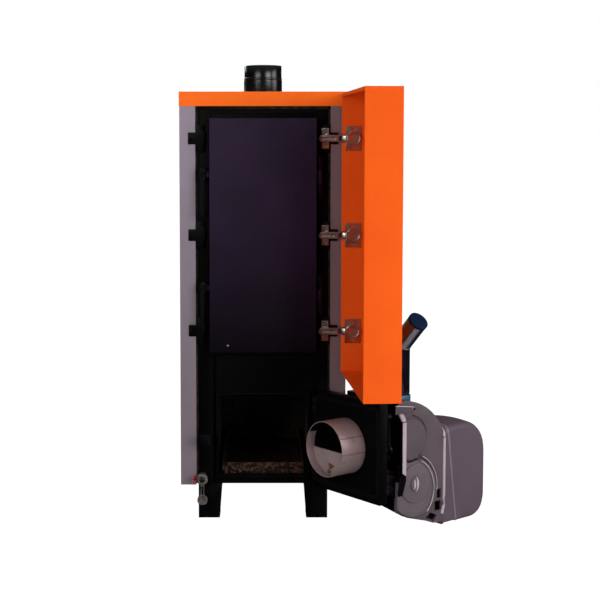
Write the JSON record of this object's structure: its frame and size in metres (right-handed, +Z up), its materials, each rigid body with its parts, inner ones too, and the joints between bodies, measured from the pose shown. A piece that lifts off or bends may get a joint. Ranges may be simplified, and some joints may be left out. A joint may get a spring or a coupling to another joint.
{
  "type": "pellet boiler",
  "caption": "Tall insulated pellet boiler on four legs, with a swing-out burner door, a latched cleaning door, a hinged outer casing door and a top flue spigot.",
  "frame": {"origin": "on the floor, midway between the four bolt holes of the feet", "axes": "+X to the right seen from the front, +Y back into the boiler (the doors are on the -Y side), +Z up"},
  "size_m": [0.8237, 1.0502, 1.23],
  "materials": {
    "black_paint": "satin black powder coat",
    "door_paint": "satin dark grey powder coat",
    "orange_paint": "orange powder coat, fine orange peel",
    "grey_paint": "grey powder coat, fine orange peel",
    "vessel_steel": "black heat-resistant paint",
    "brick": "fired clay, matt",
    "wool": "mineral wool",
    "board": "ceramic fibre board, matt",
    "rope": "woven glass rope",
    "nickel": "nickel-plated",
    "pipe_steel": "bare steel",
    "brass": "cast brass",
    "stainless": "stainless steel, heat-tinted",
    "casting": "cast aluminium, grey",
    "hood_plastic": "dark grey moulded plastic",
    "red_plastic": "red lever",
    "pipe_paint": "glossy dark pipe",
    "cap_plastic": "dark blue cap",
    "motor": "motor housing"
  },
  "bodies": {
    "boiler": {"legs": "black_paint", "vessel_front": "vessel_steel", "vessel_jacket_left": "vessel_steel", "vessel_jacket_right": "vessel_steel", "vessel_jacket_rear": "vessel_steel", "vessel_floor": "vessel_steel", "vessel_top": "vessel_steel", "furnace_ceiling": "vessel_steel", "flue_shelves": "vessel_steel", "exchanger_collar": "vessel_steel", "furnace_collar": "vessel_steel", "furnace_lining": "brick", "insulation": "wool", "side_panel_left": "grey_paint", "side_panel_right": "grey_paint", "back_panel": "grey_paint", "top_cover": "orange_paint", "flue_spigot": "black_paint", "flow_stub": "pipe_steel", "return_stub": "pipe_steel", "sensor_pocket": "brass", "drain_valve": "pipe_steel", "hinge_brackets": "black_paint", "hinge_plates": "nickel", "hinge_arms": "nickel", "cleaning_door_posts": "black_paint", "latch_brackets": "black_paint", "burner_door_posts": "black_paint", "burner_keeper": "black_paint"},
    "outer_door": {"outer_door_shell": "orange_paint", "hinge_cups": "nickel"},
    "door_links": {"hinge_links": "nickel"},
    "cleaning_door": {"cleaning_door_panel": "door_paint", "cleaning_door_insulation": "board", "cleaning_door_seal": "rope", "cleaning_door_hinges": "door_paint", "cleaning_door_tabs": "door_paint"},
    "upper_latch": {"latch_upper": "black_paint"},
    "lower_latch": {"latch_lower": "black_paint"},
    "burner_door": {"burner_door_pan": "black_paint", "burner_door_insulation": "board", "burner_door_seal": "rope", "burner_door_hinges": "black_paint", "burner_flange": "casting", "burner_tube": "stainless", "burner_grate": "stainless", "igniter": "pipe_steel", "burner_casting": "casting", "fan_cover": "casting", "fan_motor": "motor", "burner_hood": "hood_plastic", "feed_pipe": "pipe_paint", "pipe_collar": "cap_plastic", "pipe_cap": "cap_plastic"},
    "door_latch": {"burner_latch": "black_paint"},
    "fan": {"fan_wheel": "casting"},
    "valve_handle": {"drain_handle": "red_plastic"},
    "valve_cap": {"drain_cap": "pipe_steel"},
    "tray": {"ash_tray": "pipe_steel"}
  },
  "joints": [
    {"name": "burner_door_swing", "type": "hinge", "parent": "boiler", "child": "burner_door", "pos_m": [0.136, -0.278, 0.226], "axis": [0, 0, 1], "range_deg": [-127.5, 8]},
    {"name": "outer_door_swing", "type": "hinge", "parent": "boiler", "child": "outer_door", "pos_m": [0.2145, -0.275, 0.763], "axis": [0, 0, 1], "range_deg": [-93.5, 11.5]},
    {"name": "hinge_link_turn", "type": "hinge", "parent": "boiler", "child": "door_links", "pos_m": [0.21003, -0.271, 0.763], "axis": [0, 0, 1], "range_deg": [-46.75, 5.75]},
    {"name": "cleaning_door_swing", "type": "hinge", "parent": "boiler", "child": "cleaning_door", "pos_m": [0.1484, -0.287, 0.763], "axis": [0, 0, 1], "range_deg": [0, 95]},
    {"name": "upper_latch_turn", "type": "hinge", "parent": "boiler", "child": "upper_latch", "pos_m": [-0.16, -0.2963, 0.92397], "axis": [0, 1, 0], "range_deg": [0, 90]},
    {"name": "lower_latch_turn", "type": "hinge", "parent": "boiler", "child": "lower_latch", "pos_m": [-0.16, -0.2963, 0.62506], "axis": [0, 1, 0], "range_deg": [0, 90]},
    {"name": "burner_latch_turn", "type": "hinge", "parent": "burner_door", "child": "door_latch", "pos_m": [0.31205, -0.46308, 0.232], "axis": [-0.7934, -0.6088, 0], "range_deg": [-90, 0]},
    {"name": "fan_spin", "type": "hinge", "parent": "burner_door", "child": "fan", "pos_m": [0.3132, -0.31345, 0.135], "axis": [0.6088, -0.7934, 0], "continuous": true},
    {"name": "drain_handle_turn", "type": "hinge", "parent": "boiler", "child": "valve_handle", "pos_m": [-0.182, -0.275, 0.112], "axis": [1, 0, 0], "range_deg": [-90, 0]},
    {"name": "drain_cap_swing", "type": "hinge", "parent": "boiler", "child": "valve_cap", "pos_m": [-0.162, -0.275, 0.092], "axis": [1, 0, 0], "range_deg": [-60, 8]},
    {"name": "ash_tray_slide", "type": "slide", "parent": "boiler", "child": "tray", "axis": [0, -1, 0], "range_m": [0, 0.42]}
  ],
  "couplings": [
    {"joint": "outer_door_swing", "follows": "burner_door_swing", "ratio": 0.73333},
    {"joint": "hinge_link_turn", "follows": "burner_door_swing", "ratio": 0.36667}
  ]
}
